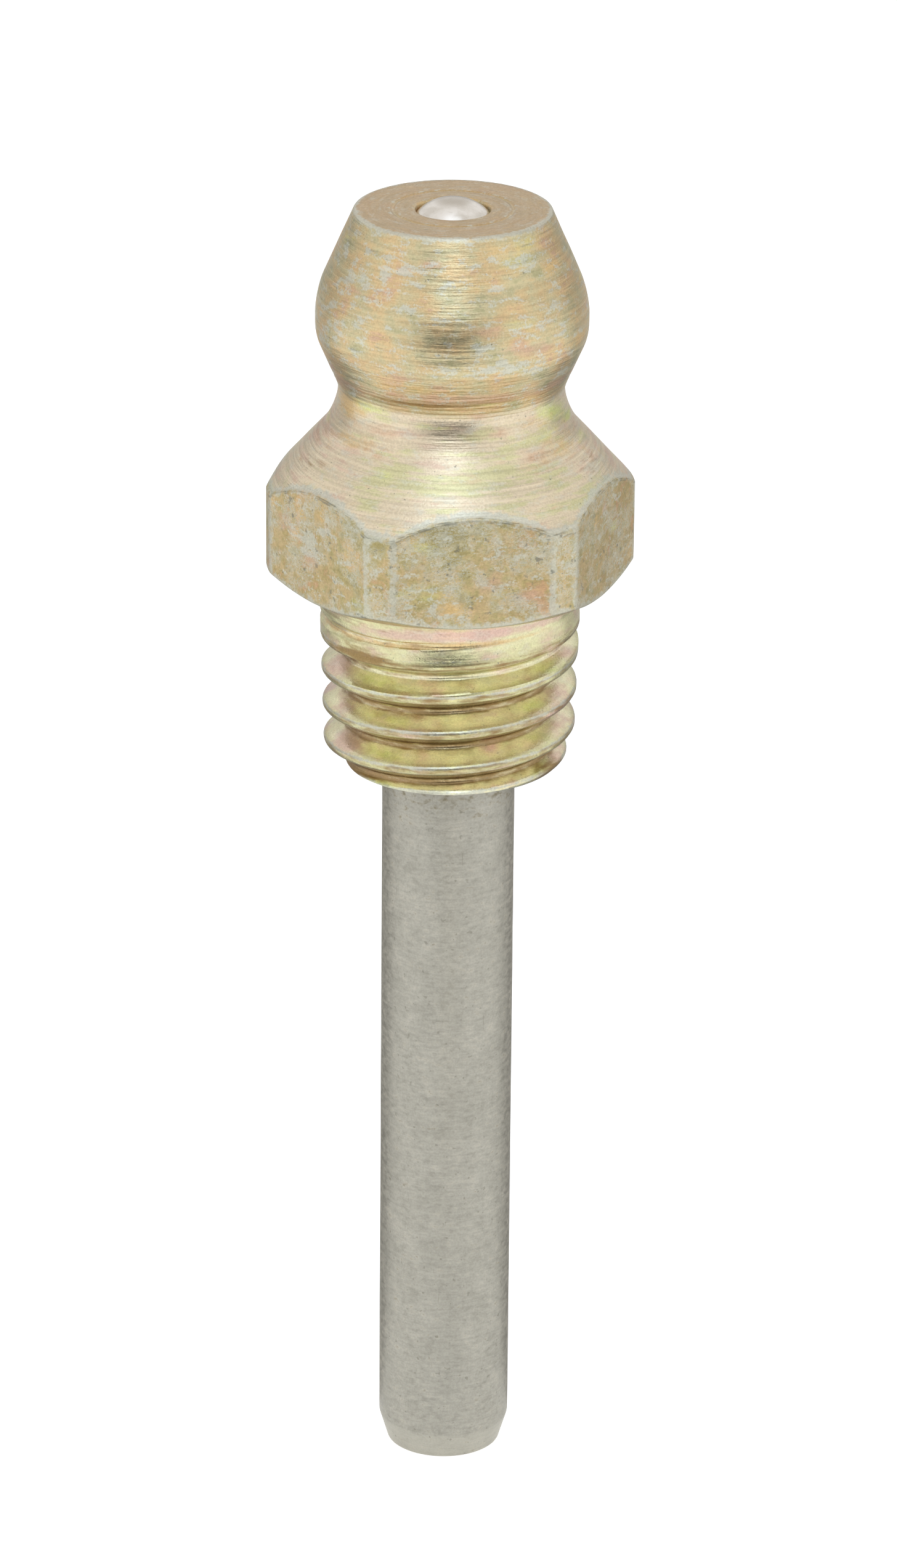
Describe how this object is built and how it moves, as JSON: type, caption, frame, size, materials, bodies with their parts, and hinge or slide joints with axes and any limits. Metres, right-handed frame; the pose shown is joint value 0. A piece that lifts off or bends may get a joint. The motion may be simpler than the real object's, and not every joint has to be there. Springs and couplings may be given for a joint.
{
  "type": "grease nipple",
  "caption": "Straight hexagon grease nipple with a coupler head, spring-loaded ball check, tapered threaded shank and a plain extension tube as its outlet.",
  "frame": {"origin": "where the axis crosses the underside of the hexagon, which is the seating plane of the threaded shank", "axes": "+Z along the axis towards the coupler head, so the shank and outlet tube point down; one hexagon flat faces -Y and two corners lie on X"},
  "size_m": [0.0088, 0.008, 0.0322],
  "materials": {
    "passivated_zinc": "yellow passivated zinc plate on turned steel, patchy and slightly worn",
    "ball_steel": "polished ball steel",
    "spring_steel": "drawn spring wire",
    "tube_steel": "satin drawn steel tube, dull grey with a warm cast"
  },
  "bodies": {
    "fitting": {"nipple_body": "passivated_zinc", "extension_tube": "tube_steel", "check_spring": "spring_steel"},
    "ball": {"check_ball": "ball_steel"}
  },
  "joints": [
    {"name": "ball_lift", "type": "slide", "parent": "fitting", "child": "ball", "axis": [0, 0, -1], "range_m": [0, 0.0008], "stiffness_N_per_m": 800, "springref_m": -0.001, "deforming": ["check_spring"]}
  ]
}
